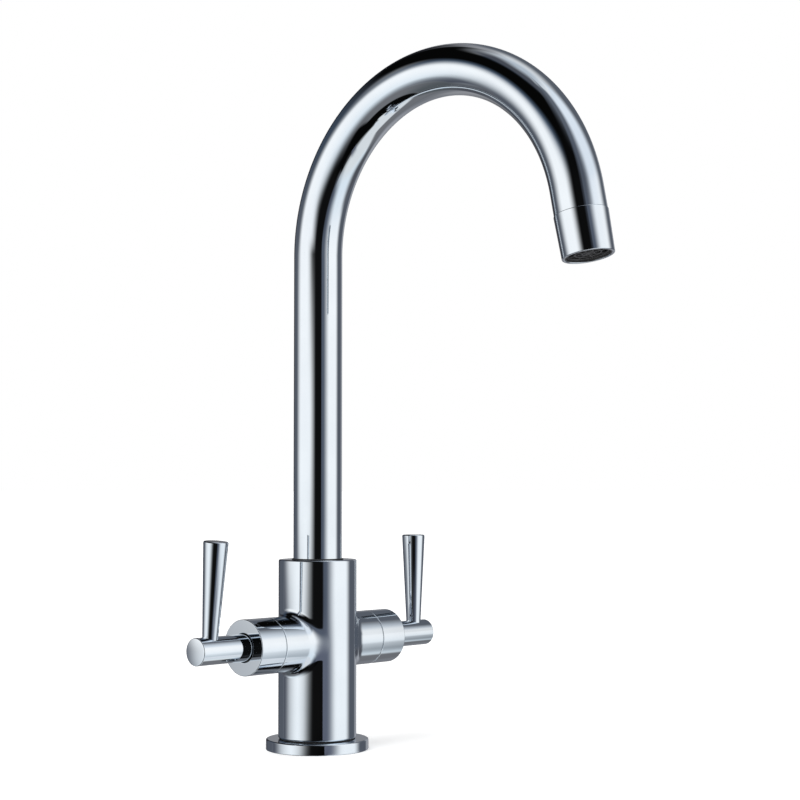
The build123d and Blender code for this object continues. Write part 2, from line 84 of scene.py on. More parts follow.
def polishGroup():  # cloudy patches that a cloth leaves, and fine wipe lines along the piece
    entries = [
        ("Vector", "NodeSocketVector", None), ("Patch Scale", "NodeSocketFloat", None),
        ("Line Scale", "NodeSocketFloat", None),
    ]
    group, entry, leave = newGroup("polishMarks", entries, ["Patch", "Lines"])
    patch = addNode(group, "ShaderNodeTexNoise")
    patch.inputs["Detail"].default_value = polish["patchDetail"]
    patch.inputs["Roughness"].default_value = polish["patchRoughness"]
    wire(group, entry, "Vector", patch, "Vector")
    wire(group, entry, "Patch Scale", patch, "Scale")
    spread = addNode(group, "ShaderNodeMapRange")
    spread.inputs["From Min"].default_value = polish["patchLow"]
    spread.inputs["From Max"].default_value = polish["patchHigh"]
    wire(group, patch, "Fac", spread, "Value")
    wire(group, spread, "Result", leave, "Patch")
    stretch = addNode(group, "ShaderNodeMapping")
    stretch.inputs["Scale"].default_value = polish["lineStretch"]
    wire(group, entry, "Vector", stretch, "Vector")
    lines = addNode(group, "ShaderNodeTexNoise")
    lines.inputs["Detail"].default_value = polish["lineDetail"]
    wire(group, stretch, "Vector", lines, "Vector")
    wire(group, entry, "Line Scale", lines, "Scale")
    wire(group, lines, "Fac", leave, "Lines")
    return group


grain = {"Grain": {"scale": 2500.0, "detail": 2.0}, "Clouds": {"scale": 120.0, "detail": 4.0}}


def grainGroup():  # fine moulded or ground grain with slow clouds under it
    entries = [("Vector", "NodeSocketVector", None)]
    entries += [(f"{label} Scale", "NodeSocketFloat", noise["scale"]) for label, noise in grain.items()]
    group, entry, leave = newGroup("surfaceGrain", entries, list(grain))
    for label, noise in grain.items():
        pattern = addNode(group, "ShaderNodeTexNoise")
        pattern.inputs["Detail"].default_value = noise["detail"]
        wire(group, entry, "Vector", pattern, "Vector")
        wire(group, entry, f"{label} Scale", pattern, "Scale")
        wire(group, pattern, "Fac", leave, label)
    return group


polishMarks = polishGroup()
surfaceGrain = grainGroup()


def newMaterial(name, group):
    material = bpy.data.materials.new(name)
    material.use_nodes = True
    tree = material.node_tree
    shader = tree.nodes["Principled BSDF"]
    place = addNode(tree, "ShaderNodeTexCoord")
    marks = addNode(tree, "ShaderNodeGroup", node_tree=group)
    wire(tree, place, "Object", marks, "Vector")
    return material, tree, shader, marks


def between(tree, source, output, low, high, shader, entry):  # a mask becomes a value from low to high
    spread = addNode(tree, "ShaderNodeMapRange")
    spread.inputs["To Min"].default_value = low
    spread.inputs["To Max"].default_value = high
    wire(tree, source, output, spread, "Value")
    wire(tree, spread, "Result", shader, entry)


def tint(tree, source, output, low, high, shader):  # a mask becomes a colour between two
    mix = addNode(tree, "ShaderNodeMix", data_type="RGBA")
    mix.inputs["A"].default_value = (*low, 1.0)
    mix.inputs["B"].default_value = (*high, 1.0)
    wire(tree, source, output, mix, "Factor")
    wire(tree, mix, "Result", shader, "Base Color")


def roughen(tree, source, output, shader, strength, height):
    bump = addNode(tree, "ShaderNodeBump")
    bump.inputs["Strength"].default_value = strength
    bump.inputs["Distance"].default_value = height
    wire(tree, source, output, bump, "Height")
    wire(tree, bump, "Normal", shader, "Normal")


# Finishes

metalFinishes = {  # colours and roughness go from clean to dull by the mask that tintBy and roughBy name
    "chrome_plate": {
        "name": "chromePlate", "clean": (0.89, 0.94, 0.985), "dull": (0.84, 0.89, 0.94), "tintBy": "Patch",
        "rough": (0.03, 0.06), "roughBy": "Patch", "patchScale": 26.0, "lineScale": 700.0,
        "bump": 0.015, "bumpHeight": 0.02 * mm,
    },
    "brass": {
        "name": "turnedBrass", "clean": (0.78, 0.60, 0.31), "dull": (0.55, 0.40, 0.20), "tintBy": "Patch",
        "rough": (0.24, 0.46), "roughBy": "Lines", "patchScale": 90.0, "lineScale": 2200.0,
        "bump": 0.25, "bumpHeight": 0.05 * mm,
    },
    "stainless_steel": {
        "name": "brushedSteel", "clean": (0.60, 0.60, 0.61), "dull": (0.47, 0.47, 0.49), "tintBy": "Lines",
        "rough": (0.2, 0.38), "roughBy": "Lines", "patchScale": 160.0, "lineScale": 3000.0,
        "bump": 0.3, "bumpHeight": 0.03 * mm,
    },
}
grainFinishes = {  # colours, roughness from smooth to rough, and bump for the pieces that aren't metal
    "ceramic": {
        "pale": (0.90, 0.89, 0.86), "deep": (0.80, 0.78, 0.74), "rough": (0.22, 0.36),
        "bump": 0.06, "bumpHeight": 0.05 * mm,
    },
    "black_rubber": {
        "pale": (0.045, 0.045, 0.048), "deep": (0.022, 0.022, 0.024), "rough": (0.55, 0.8),
        "bump": 0.3, "bumpHeight": 0.05 * mm,
    },
    "nylon": {
        "pale": (0.86, 0.85, 0.81), "deep": (0.76, 0.74, 0.69), "rough": (0.35, 0.5),
        "bump": 0.12, "bumpHeight": 0.05 * mm,
    },
    "dark_plastic": {
        "pale": (0.06, 0.06, 0.062), "deep": (0.03, 0.03, 0.032), "rough": (0.3, 0.45),
        "bump": 0.12, "bumpHeight": 0.05 * mm,
    },
}


def metalMaterial(look):
    material, tree, shader, marks = newMaterial(look["name"], polishMarks)
    marks.inputs["Patch Scale"].default_value = look["patchScale"]
    marks.inputs["Line Scale"].default_value = look["lineScale"]
    shader.inputs["Metallic"].default_value = 1.0
    tint(tree, marks, look["tintBy"], look["clean"], look["dull"], shader)
    between(tree, marks, look["roughBy"], *look["rough"], shader, "Roughness")
    roughen(tree, marks, "Lines", shader, look["bump"], look["bumpHeight"])
    return material


def grainedMaterial(slot, look):
    material, tree, shader, marks = newMaterial(slot + "Finish", surfaceGrain)
    tint(tree, marks, "Clouds", look["deep"], look["pale"], shader)
    between(tree, marks, "Grain", *look["rough"], shader, "Roughness")
    roughen(tree, marks, "Grain", shader, look["bump"], look["bumpHeight"])
    return material


finishes = {slot: metalMaterial(look) for slot, look in metalFinishes.items()}
finishes |= {slot: grainedMaterial(slot, look) for slot, look in grainFinishes.items()}
print("finishes made:", ", ".join(finishes))


# Mesh helpers

turning = {
    "steps": 144, "fineSteps": 192, "holeSteps": 64, "roundSteps": 6, "sharp": math.radians(32.0),
    "merge": 0.0005 * mm, "onSurface": 0.01 * mm,
    "over": 1.0 * mm,  # how far a cutting rod stands past the face that it cuts
    "stagger": math.radians(0.7),  # turns a hole's corners off the lines of the face that it cuts
}
upright = Matrix.Identity(4)


def axisPlace(origin, along, up):  # local z runs along the axis, local x points up from it
    across = Vector(along).cross(Vector(up))
    place = Matrix((Vector(up), across, Vector(along))).transposed().to_4x4()
    place.translation = origin
    return place


def valvePlace(name, turned=False):
    turn = restTurn[name] if turned else 0.0
    return axisPlace((0, 0, valveZ), (valves[name], 0, 0), (0, -math.sin(turn), math.cos(turn)))


def crossPlace(name, station, direction):  # leaves the valve axis towards the lever's tip, or away from it
    turn = restTurn[name]
    along = Vector((0, -math.sin(turn), math.cos(turn))) * direction
    return axisPlace((valves[name] * station, 0, valveZ), along, (valves[name], 0, 0))


def roundedCorner(before, corner, after, rounding):  # the corner itself, or the points of its round
    if not rounding:
        return [corner]
    back = (before - corner).normalized()
    ahead = (after - corner).normalized()
    half = back.angle(ahead) / 2
    centre = corner + (back + ahead).normalized() * (rounding / math.sin(half))
    first = (corner + back * (rounding / math.tan(half)) - centre).normalized()
    last = (corner + ahead * (rounding / math.tan(half)) - centre).normalized()
    steps = turning["roundSteps"]
    return [centre + first.slerp(last, step / steps) * rounding for step in range(steps + 1)]


def outlinePoints(outline, rows):  # outline holds radius, station and round; rows adds points after a corner
    corners = [Vector((radius, station)) for radius, station, rounding in outline]
    groups = []
    for number, (radius, station, rounding) in enumerate(outline):
        after = corners[(number + 1) % len(corners)]
        groups.append(roundedCorner(corners[number - 1], corners[number], after, rounding))
    points = []
    for number, group in enumerate(groups):
        points += group
        cuts = rows.get(number, 0)
        ahead = groups[(number + 1) % len(groups)][0]
        points += [group[-1].lerp(ahead, cut / (cuts + 1)) for cut in range(1, cuts + 1)]
    return points


def turnedShape(outline, place, closed=False, steps=turning["steps"], rows=None):
    bm = bmesh.new()
    corners = [bm.verts.new((point.x, 0, point.y)) for point in outlinePoints(outline, rows or {})]
    ends = corners[1:] + corners[:1] if closed else corners[1:]
    for pair in zip(corners, ends):
        bm.edges.new(pair)
    bmesh.ops.spin(
        bm, geom=bm.verts[:] + bm.edges[:], cent=(0, 0, 0), axis=(0, 0, 1), angle=2 * math.pi, steps=steps,
        use_merge=True,
    )
    bmesh.ops.remove_doubles(bm, verts=bm.verts[:], dist=turning["merge"])
    bmesh.ops.recalc_face_normals(bm, faces=bm.faces[:])
    bmesh.ops.transform(bm, matrix=place, verts=bm.verts[:])
    return bm


def rodShape(radius, start, end, place, steps=turning["holeSteps"]):
    outline = [(0, start, 0), (radius, start, 0), (radius, end, 0), (0, end, 0)]
    return turnedShape(outline, place @ Matrix.Rotation(turning["stagger"], 4, "Z"), steps=steps)


def makeObject(name, bm):
    mesh = bpy.data.meshes.new(name)
    bm.to_mesh(mesh)
    bm.free()
    piece = bpy.data.objects.new(name, mesh)
    scene.collection.objects.link(piece)
    return piece


def applyModifiers(piece):
    bpy.context.view_layer.update()
    finished = bpy.data.meshes.new_from_object(piece.evaluated_get(bpy.context.evaluated_depsgraph_get()))
    piece.modifiers.clear()
    piece.data = finished


def weld(piece):  # joins the twin points that a cut leaves
    bm = bmesh.new()
    bm.from_mesh(piece.data)
    bmesh.ops.remove_doubles(bm, verts=bm.verts[:], dist=turning["merge"])
    bmesh.ops.dissolve_degenerate(bm, edges=bm.edges[:], dist=turning["merge"])
    bm.to_mesh(piece.data)
    bm.free()


def cutShape(piece, operation, shapes):  # joins or cuts a piece with other shapes, one after the other
    tools = [makeObject(f"{piece.name}Tool{number}", bm) for number, bm in enumerate(shapes)]
    for tool in tools:
        cut = piece.modifiers.new("cut", "BOOLEAN")
        cut.operation = operation
        cut.solver = "EXACT"
        cut.object = tool
    applyModifiers(piece)
    weld(piece)
    for tool in tools:
        bpy.data.objects.remove(tool)


def shade(piece):  # smooth faces with true flats, sharp where the outline is
    piece.data.shade_smooth()
    piece.data.set_sharp_from_angle(angle=turning["sharp"])
    flats = piece.modifiers.new("flats", "WEIGHTED_NORMAL")
    flats.keep_sharp = True


def steerNormals(mesh, wayOut, facing):  # corners that face about the way out take it as their normal
    normals = [Vector(corner.vector) for corner in mesh.corner_normals]
    for corner, loop in enumerate(mesh.loops):
        out = wayOut(mesh.vertices[loop.vertex_index])
        if out is not None and out.dot(normals[corner]) > facing:
            normals[corner] = out
    mesh.normals_split_custom_set(normals)


def fit(piece, node, body, slot):  # the piece stands for its CAD node on its body
    piece.data.materials.clear()
    piece.data.materials.append(finishes[slot])
    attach(piece, body)
    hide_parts(node)


# Mixer body: barrel and two arms, melted into each other where they meet

body = {
    "radius": 22.5 * mm, "top": 108.6 * mm, "foot": 20.0 * mm, "underside": 0.6 * mm, "shoulder": 6.65 * mm,
    "round": 0.9 * mm, "heel": 1.1 * mm, "lipRound": 0.25 * mm, "recess": 14.25 * mm,
    "recessFloor": 104.5 * mm, "socket": 12.48 * mm, "socketFloor": 80.0 * mm,
    "chamber": 8.8 * mm, "chamberFloor": 66.5 * mm,
    "armRadius": 15.7 * mm, "armStart": 12.0 * mm, "armFace": 39.5 * mm, "seamRound": 0.45 * mm,
    "spigot": 13.45 * mm, "spigotEnd": 43.5 * mm,
    "valveBore": 9.35 * mm, "seat": 17.0 * mm, "boreEnd": 50.0 * mm,
    "melt": 4.4 * mm, "meltReach": 26.0 * mm, "meltBand": 4.4 * mm / 3, "meltPasses": 4, "meltFacing": 0.6,
    "meltEnd": 39.0455 * mm,  # short of the round at the arm's seam
    "barrelSteps": 256, "armSteps": 192, "rows": 86, "armRows": 46,
    "inlet": (9.5 * mm, 4.5 * mm, 14.6 * mm),  # offset from the axis, radius and top of the hole
    "stud": (11.5 * mm, 3.4 * mm, 16.6 * mm),
    "lockHeight": 94.75 * mm, "lockHole": 2.45 * mm, "lockReach": 30.0 * mm,
}
backPlace = axisPlace((0, 0, body["lockHeight"]), (0, 1, 0), (1, 0, 0))


def meltField(point):  # depth outside the melted barrel and arms, and the way out
    radial = Vector((point.x, point.y, 0.0))
    around = Vector((0.0, point.y, point.z - valveZ))
    barrelDepth = radial.length - body["radius"]
    armDepth = around.length - body["armRadius"]
    share = min(1.0, max(0.0, 0.5 + 0.5 * (armDepth - barrelDepth) / body["melt"]))
    overlap = max(0.0, body["melt"] - abs(armDepth - barrelDepth)) / body["melt"]
    depth = min(barrelDepth, armDepth) - overlap * overlap * body["melt"] / 4
    out = radial.normalized() * share + around.normalized() * (1.0 - share)
    return depth, out


def inMelt(point):
    if abs(point.z - valveZ) >= body["meltReach"] or abs(point.x) >= body["meltEnd"]:
        return False
    return abs(meltField(point)[0]) < body["meltBand"]


def makeMixerBody():
    middle = body["meltReach"]
    barrel = [
        (0, body["underside"], 0), (body["foot"], body["underside"], 0), (body["foot"], body["shoulder"], 0),
        (body["radius"], body["shoulder"], body["heel"]), (body["radius"], valveZ - middle, 0),
        (body["radius"], valveZ + middle, 0), (body["radius"], body["top"], body["round"]),
        (body["recess"], body["top"], body["lipRound"]), (body["recess"], body["recessFloor"], 0),
        (body["socket"], body["recessFloor"], 0), (body["socket"], body["socketFloor"], 0),
        (body["chamber"], body["socketFloor"], 0), (body["chamber"], body["chamberFloor"], 0),
        (0, body["chamberFloor"], 0),
    ]
    arm = [
        (0, body["armStart"], 0), (body["armRadius"], body["armStart"], 0),
        (body["armRadius"], body["armFace"], body["seamRound"]), (body["spigot"], body["armFace"], 0),
        (body["spigot"], body["spigotEnd"], 0), (0, body["spigotEnd"], 0),
    ]
    shape = turnedShape(barrel, upright, steps=body["barrelSteps"], rows={4: body["rows"]})
    piece = makeObject("mixerBody", shape)
    arms = []
    for name in valves:
        arms.append(turnedShape(arm, valvePlace(name), steps=body["armSteps"], rows={1: body["armRows"]}))
    cutShape(piece, "UNION", arms)
    over = turning["over"]
    inletX, inletR, inletTop = body["inlet"]
    studY, studR, studTop = body["stud"]
    holes = [rodShape(body["valveBore"], body["seat"], body["boreEnd"], valvePlace(name)) for name in valves]
    for side in valves.values():
        holes.append(rodShape(inletR, -over, inletTop, Matrix.Translation((side * inletX, 0, 0))))
    holes.append(rodShape(studR, -over, studTop, Matrix.Translation((0, -studY, 0))))
    holes.append(rodShape(body["lockHole"], body["socket"] - over, body["lockReach"], backPlace))
    cutShape(piece, "DIFFERENCE", holes)
    shade(piece)
    applyModifiers(piece)
    melted = set()
    for vertex in piece.data.vertices:
        if inMelt(vertex.co):
            for again in range(body["meltPasses"]):
                depth, out = meltField(vertex.co)
                vertex.co = vertex.co - out * (depth / out.length_squared)
            melted.add(vertex.index)

    def meltNormal(vertex):
        return meltField(vertex.co)[1].normalized() if vertex.index in melted else None

    steerNormals(piece.data, meltNormal, body["meltFacing"])
    fit(piece, "mixer_body", "tap_body", "chrome_plate")


makeMixerBody()
print("mixer body made")


# Base flange with its gasket groove, and the gasket

base = {
    "bore": 20.05 * mm, "radius": 29.5 * mm, "height": 6.2 * mm, "round": 0.9 * mm, "heel": 0.45 * mm,
    "grooveIn": 22.7 * mm, "grooveOut": 26.3 * mm, "groove": 2.4 * mm, "ease": 0.05 * mm,
}


def makeBase():
    flange = [
        (base["bore"], 0, 0), (base["grooveIn"], 0, 0), (base["grooveIn"], base["groove"], 0),
        (base["grooveOut"], base["groove"], 0), (base["grooveOut"], 0, 0), (base["radius"], 0, base["heel"]),
        (base["radius"], base["height"], base["round"]), (base["bore"], base["height"], 0),
    ]
    piece = makeObject("baseFlange", turnedShape(flange, upright, closed=True, steps=turning["fineSteps"]))
    shade(piece)
    fit(piece, "base_flange", "tap_body", "chrome_plate")
    inner = base["grooveIn"] + base["ease"]
    outer = base["grooveOut"] - base["ease"]
    gasket = [(inner, 0, 0), (outer, 0, 0), (outer, base["groove"], 0), (inner, base["groove"], 0)]
    piece = makeObject("baseGasket", turnedShape(gasket, upright, closed=True))
    shade(piece)
    fit(piece, "base_gasket", "tap_body", "black_rubber")


makeBase()
print("base made")


# Black rubber rings in the two seams, put in to paint the shade of their narrow gaps as dark lines: one between
# flange and body, one round the spout's foot

shadeRings = {
    "baseShadeRing": {
        "inner": 20.05 * mm, "outer": 21.8 * mm, "low": 6.2 * mm, "high": 6.65 * mm, "round": 0.15 * mm,
    },
    "spoutShadeRing": {
        "inner": 14.05 * mm, "outer": 14.9 * mm, "low": 108.55 * mm, "high": 109.15 * mm, "round": 0.2 * mm,
    },
}


def makeShadeRings():
    for name, ring in shadeRings.items():
        outline = [
            (ring["inner"], ring["low"], 0), (ring["outer"], ring["low"], ring["round"]),
            (ring["outer"], ring["high"], ring["round"]), (ring["inner"], ring["high"], 0),
        ]
        # each ring is a dark piece that stands in for the painted shade in its seam
        piece = makeObject(name, turnedShape(outline, upright, closed=True))
        shade(piece)
        piece.data.materials.append(finishes["black_rubber"])
        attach(piece, "tap_body")


makeShadeRings()
print("seals made")


# Socket screws: a rod with a hexagon socket at its outer end

screw = {
    "radius": 2.4 * mm, "key": 2.5 * mm, "keySides": 6, "keyDepth": 1.8 * mm, "edge": 0.25 * mm, "steps": 48,
}
lockScrew = {"tip": 1.5 * mm, "tipStart": 11.35 * mm, "start": 12.73 * mm, "end": 21.9 * mm}
hubScrew = {"tip": 1.2 * mm, "tipStart": 4.0 * mm, "start": 4.05 * mm, "end": 7.0 * mm}


def makeScrew(name, node, carrier, place, size):
    end = size["end"]
    outline = [
        (0, size["tipStart"], 0), (size["tip"], size["tipStart"], screw["edge"]),
        (size["tip"], size["start"], 0), (screw["radius"], size["start"], 0),
        (screw["radius"], end, screw["edge"]), (0, end, 0),
    ]
    piece = makeObject(name, turnedShape(outline, place, steps=screw["steps"]))
    corner = screw["key"] / math.sqrt(3)  # a hexagon's corner, from its size across flats
    socket = rodShape(corner, end - screw["keyDepth"], end + turning["over"], place, steps=screw["keySides"])
    cutShape(piece, "DIFFERENCE", [socket])
    shade(piece)
    fit(piece, node, carrier, "stainless_steel")


makeScrew("lockingScrew", "spout_locking_screw", "tap_body", backPlace, lockScrew)
print("locking screw made")


# Valve sides: shroud on the arm, hub that turns in it, lever and screw in the hub

shroud = {
    "bore": 13.5 * mm, "radius": 15.7 * mm, "start": 39.5 * mm, "face": 58.05 * mm, "web": 55.05 * mm,
    "hole": 8.1 * mm, "seamRound": 0.45 * mm, "round": 0.5 * mm,
}
hub = {
    "radius": 7.6 * mm, "start": 55.45 * mm, "end": 93.55 * mm, "bore": 4.0 * mm, "boreEnd": 71.45 * mm,
    "round": 0.5 * mm, "dome": 0.5 * mm, "domeSteps": 8, "rows": 60, "sideFacing": 0.9,
    "screwAt": 64.55 * mm, "screwHole": 2.45 * mm, "cutReach": 12.0 * mm,
}
lever = {
    "seat": 3.6 * mm, "foot": 4.4 * mm, "tip": 6.95 * mm, "top": 59.7 * mm, "round": 0.9 * mm,
    "stud": 2.5 * mm, "studLength": 6.0 * mm, "studGap": 0.5 * mm, "ease": 0.05 * mm,
}


def makeShroud(name):
    outline = [
        (shroud["bore"], shroud["start"], 0), (shroud["radius"], shroud["start"], shroud["seamRound"]),
        (shroud["radius"], shroud["face"], shroud["round"]),
        (shroud["hole"], shroud["face"], shroud["seamRound"]),
        (shroud["hole"], shroud["web"], 0), (shroud["bore"], shroud["web"], 0),
    ]
    shape = turnedShape(outline, valvePlace(name), closed=True, steps=turning["fineSteps"])
    piece = makeObject(f"{name}Shroud", shape)
    shade(piece)
    fit(piece, f"{name}_shroud", "tap_body", "chrome_plate")


def stemNormal(vertex):  # straight out from the valve axis on the stem's round side
    out = Vector((0.0, vertex.co.y, vertex.co.z - valveZ))
    return out.normalized() if abs(out.length - hub["radius"]) < turning["onSurface"] else None


def makeHub(name):
    outline = [
        (0, hub["boreEnd"], 0), (hub["bore"], hub["boreEnd"], 0), (hub["bore"], hub["start"], 0),
        (hub["radius"], hub["start"], 0), (hub["radius"], hub["end"] - hub["dome"], hub["round"]),
    ]
    for step in range(hub["domeSteps"] - 1, -1, -1):  # the end swells a little
        share = step / hub["domeSteps"]
        outline.append((hub["radius"] * share, hub["end"] - hub["dome"] * share * share, 0))
    place = valvePlace(name, turned=True)
    piece = makeObject(f"{name}Hub", turnedShape(outline, place, rows={3: hub["rows"]}))
    upward = crossPlace(name, leverX, 1)
    studEnd = lever["seat"] - lever["studLength"] - lever["studGap"]
    holes = [
        rodShape(lever["foot"] + lever["ease"], lever["seat"], hub["cutReach"], upward),
        rodShape(lever["stud"] + lever["ease"], studEnd, lever["seat"] + turning["over"], upward),
        rodShape(hub["screwHole"], 0, hub["cutReach"], crossPlace(name, hub["screwAt"], -1)),
    ]
    cutShape(piece, "DIFFERENCE", holes)
    shade(piece)
    applyModifiers(piece)
    steerNormals(piece.data, stemNormal, hub["sideFacing"])
    fit(piece, f"{name}_handle_hub", f"{name}_handle", "chrome_plate")


def makeLever(name):
    low = lever["seat"] - lever["studLength"]
    outline = [
        (0, low, 0), (lever["stud"], low, 0), (lever["stud"], lever["seat"], 0),
        (lever["foot"], lever["seat"], 0), (lever["foot"], hub["radius"], 0),
        (lever["tip"], lever["top"], lever["round"]), (0, lever["top"], 0),
    ]
    piece = makeObject(f"{name}Lever", turnedShape(outline, crossPlace(name, leverX, 1)))
    shade(piece)
    fit(piece, f"{name}_lever", f"{name}_handle", "chrome_plate")


for name in valves:
    makeShroud(name)
    makeHub(name)
    makeLever(name)
    screwPlace = crossPlace(name, hub["screwAt"], -1)
    makeScrew(f"{name}HubScrew", f"{name}_hub_screw", f"{name}_handle", screwPlace, hubScrew)
print("valve sides made")


# Spout tube: a ring drawn up the column, round the arch and down its straight end

spout = {
    "radius": 14.0 * mm, "wall": 1.2 * mm, "start": 105.55 * mm, "archZ": 284.0 * mm,
    "archRadius": 94.5 * mm, "sweep": math.radians(168.4), "straight": 12.8 * mm,
    "ringSteps": 144, "archSteps": 180,
}
outletDirection = Vector((0, -math.sin(spout["sweep"]), math.cos(spout["sweep"])))
archCentre = Vector((0, -spout["archRadius"], spout["archZ"]))
outletEnd = archCentre + Matrix.Rotation(spout["sweep"], 3, "X") @ Vector((0, spout["archRadius"], 0))
outletEnd += outletDirection * spout["straight"]
outletPlace = axisPlace(outletEnd, outletDirection, (1, 0, 0))


def edgesIn(geometry):
    return [item for item in geometry if isinstance(item, bmesh.types.BMEdge)]


def drawOn(bm, edges, step):  # extrudes a ring of edges along a step and gives the new ring
    grown = bmesh.ops.extrude_edge_only(bm, edges=edges)["geom"]
    verts = [item for item in grown if isinstance(item, bmesh.types.BMVert)]
    bmesh.ops.translate(bm, verts=verts, vec=step)
    return [edge for edge in edgesIn(grown) if all(vert in verts for vert in edge.verts)]


def makeSpoutTube():
    bm = bmesh.new()
    start = Matrix.Translation((0, 0, spout["start"]))
    bmesh.ops.create_circle(bm, segments=spout["ringSteps"], radius=spout["radius"], matrix=start)
    ring = drawOn(bm, bm.edges[:], (0, 0, spout["archZ"] - spout["start"]))
    verts = list({vert for edge in ring for vert in edge.verts})
    arch = bmesh.ops.spin(
        bm, geom=verts + ring, cent=archCentre, axis=(1, 0, 0), angle=spout["sweep"],
        steps=spout["archSteps"],
    )
    drawOn(bm, edgesIn(arch["geom_last"]), outletDirection * spout["straight"])
    bmesh.ops.remove_doubles(bm, verts=bm.verts[:], dist=turning["merge"])
    bmesh.ops.recalc_face_normals(bm, faces=bm.faces[:])
    piece = makeObject("spoutTube", bm)
    wall = piece.modifiers.new("wall", "SOLIDIFY")
    wall.thickness = spout["wall"]
    wall.offset = -1.0
    applyModifiers(piece)
    shade(piece)
    fit(piece, "spout_tube", "spout", "chrome_plate")


makeSpoutTube()
print("spout tube made")


# Nozzle: sleeve, and the aerator's housing and grid inside its mouth

nozzle = {
    "bore": 13.1 * mm, "radius": 14.3 * mm, "seam": 0.06 * mm, "length": 23.1 * mm, "mouth": 13.75 * mm,
    "mouthBore": 12.1 * mm, "ledge": 18.5 * mm, "seamRound": 0.3 * mm, "round": 0.5 * mm,
}
aerator = {
    "bore": 11.05 * mm, "radius": 13.05 * mm, "neck": 12.05 * mm, "start": 10.5 * mm, "end": 21.8 * mm,
    "rim": 22.8 * mm, "rimBore": 11.5 * mm, "soft": 0.28 * mm, "inset": 0.1 * mm,
    "gridRadius": 11.0 * mm, "gridDepth": 2.4 * mm, "bar": 0.9 * mm, "rings": 3, "ringSteps": 96,
    "spokes": 8, "boss": 1.6 * mm, "bossSteps": 48,
}


def makeNozzle():
    sleeve = [
        (nozzle["bore"], nozzle["seam"], 0), (nozzle["radius"], nozzle["seam"], nozzle["seamRound"]),
        (nozzle["mouth"], nozzle["length"], nozzle["round"]),
        (nozzle["mouthBore"], nozzle["length"], nozzle["round"]),
        (nozzle["mouthBore"], nozzle["ledge"], 0), (nozzle["bore"], nozzle["ledge"], 0),
    ]
    shape = turnedShape(sleeve, outletPlace, closed=True, steps=turning["fineSteps"])
    piece = makeObject("nozzleSleeve", shape)
    shade(piece)
    fit(piece, "nozzle_sleeve", "spout", "chrome_plate")
    housing = [
        (aerator["bore"], aerator["start"], 0), (aerator["radius"], aerator["start"], 0),
        (aerator["radius"], nozzle["ledge"], 0), (aerator["neck"], nozzle["ledge"], 0),
        (aerator["neck"], aerator["rim"], aerator["inset"]),
        (aerator["rimBore"], aerator["rim"], aerator["inset"]),
        (aerator["rimBore"], aerator["end"], 0), (aerator["bore"], aerator["end"], aerator["soft"]),
    ]
    piece = makeObject("aeratorHousing", turnedShape(housing, outletPlace, closed=True))
    shade(piece)
    fit(piece, "aerator_housing", "spout", "dark_plastic")


def makeGrid():
    low = aerator["end"] - aerator["gridDepth"]
    shapes = []
    for row in range(aerator["rings"], 0, -1):
        outer = aerator["gridRadius"] * row / aerator["rings"]
        inner = outer - aerator["bar"]
        outline = [
            (inner, low, 0), (outer, low, 0), (outer, aerator["end"], aerator["soft"]),
            (inner, aerator["end"], aerator["soft"]),
        ]
        shapes.append(turnedShape(outline, upright, closed=True, steps=aerator["ringSteps"]))
    boss = [
        (0, low + aerator["inset"], 0), (aerator["boss"], low + aerator["inset"], 0),
        (aerator["boss"], aerator["end"], aerator["soft"]), (0, aerator["end"], 0),
    ]
    shapes.append(turnedShape(boss, upright, steps=aerator["bossSteps"]))
    depth = aerator["gridDepth"] - 4 * aerator["inset"]  # spokes sit two insets inside both faces
    near = aerator["boss"] / 2
    far = aerator["gridRadius"] - aerator["bar"] / 2
    for number in range(aerator["spokes"]):
        bm = bmesh.new()
        bmesh.ops.create_cube(bm, size=1.0)
        bmesh.ops.scale(bm, vec=(far - near, aerator["bar"], depth), verts=bm.verts[:])
        middle = (near + far) / 2
        bmesh.ops.translate(bm, vec=(middle, 0, low + 2 * aerator["inset"] + depth / 2), verts=bm.verts[:])
        turn = Matrix.Rotation(2 * math.pi * (number + 0.5) / aerator["spokes"], 4, "Z")
        bmesh.ops.transform(bm, matrix=turn, verts=bm.verts[:])
        shapes.append(bm)
    piece = makeObject("aeratorGrid", shapes[0])
    cutShape(piece, "UNION", shapes[1:])
    piece.data.transform(outletPlace)
    shade(piece)
    fit(piece, "aerator_grid", "spout", "dark_plastic")


makeNozzle()
makeGrid()
print("nozzle made")


# The CAD nodes keep their shape and take the same finishes, seen or not

for row in frame["record"]["subparts"]:
    node = frame["nodes"][row["node"]]
    node.data.materials.clear()
    node.data.materials.append(finishes[row["material_slot"]])
print("finishes set on the CAD nodes")


# Studio: white surroundings with grey and black cards, as a polished piece is photographed

light = {"fill": 0.55, "sun": 1.6, "sunAngle": 40.0, "sunTurn": (38.0, 0.0, -95.0)}  # angles in degrees
floorSet = {"radius": 40.0, "sides": 96, "colour": (0.9, 0.9, 0.9), "rough": 0.9, "glow": 0.42}
cameraSet = {
    "place": (-0.7417, -0.7395, 0.1515), "heading": 47.69, "tilt": 2.69, "lens": 81.25, "sensor": 36.0,
    "clip": (0.05, 200.0),
}
dome = {
    "radius": 8.0, "columns": 288, "rows": 144, "white": (1.0, 1.0, 1.0),
    "viewTurn": 45.08,  # the camera's bearing from the tap in degrees, where the cards' azimuth is 0
    "nearStep": 1.5,  # degrees between a near card's grid lines
}
